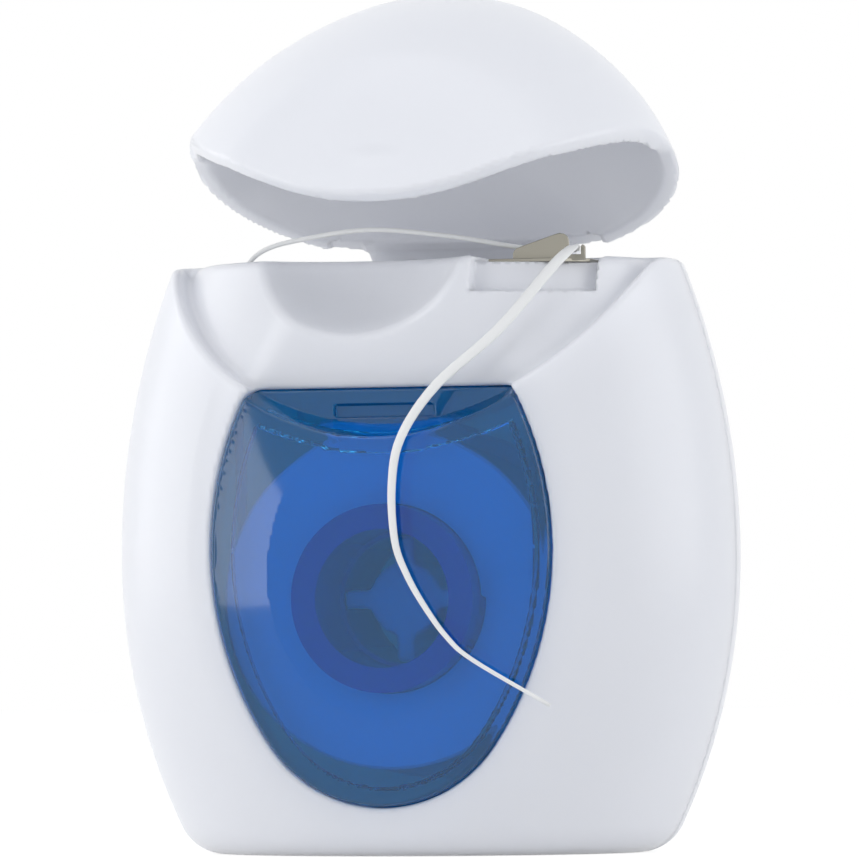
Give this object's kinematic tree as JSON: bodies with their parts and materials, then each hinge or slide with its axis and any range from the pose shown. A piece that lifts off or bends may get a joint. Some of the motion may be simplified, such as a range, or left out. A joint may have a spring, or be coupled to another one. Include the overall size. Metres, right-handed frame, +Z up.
{
  "type": "dental floss dispenser",
  "caption": "Barrel-shaped flip-top case with a tinted window, a steel cutter, a spool of floss on a hub and a free end of floss in front.",
  "frame": {"origin": "centre of the flat base face", "axes": "+Z up, the front with the window looks along -Y, +X to the right as seen from the front"},
  "size_m": [0.0516, 0.0329, 0.0704],
  "materials": {
    "case_plastic": "semi-gloss white moulding",
    "window_plastic": "clear tinted moulding",
    "cutter_steel": "rolled sheet",
    "hinge_plastic": "thin flexed web",
    "spool_plastic": "plain moulding",
    "floss": "waxed filament"
  },
  "bodies": {
    "case": {"case_front": "case_plastic", "case_back": "case_plastic", "window": "window_plastic", "cutter": "cutter_steel", "lid_hinge": "hinge_plastic", "floss_lead": "floss", "floss_arch": "floss", "floss_tail": "floss"},
    "lid": {"lid": "case_plastic"},
    "spool": {"spool": "spool_plastic", "floss_pack": "floss", "floss_winding": "floss"}
  },
  "joints": [
    {"name": "lid_turn", "type": "hinge", "parent": "case", "child": "lid", "pos_m": [0, 0.0145, 0.0481], "axis": [-1, 0, 0], "range_deg": [-33, 87], "deforming": ["lid_hinge", "floss_tail"]},
    {"name": "spool_spin", "type": "hinge", "parent": "case", "child": "spool", "pos_m": [0, -0.0044, 0.0206], "axis": [0, 1, 0], "continuous": true}
  ]
}
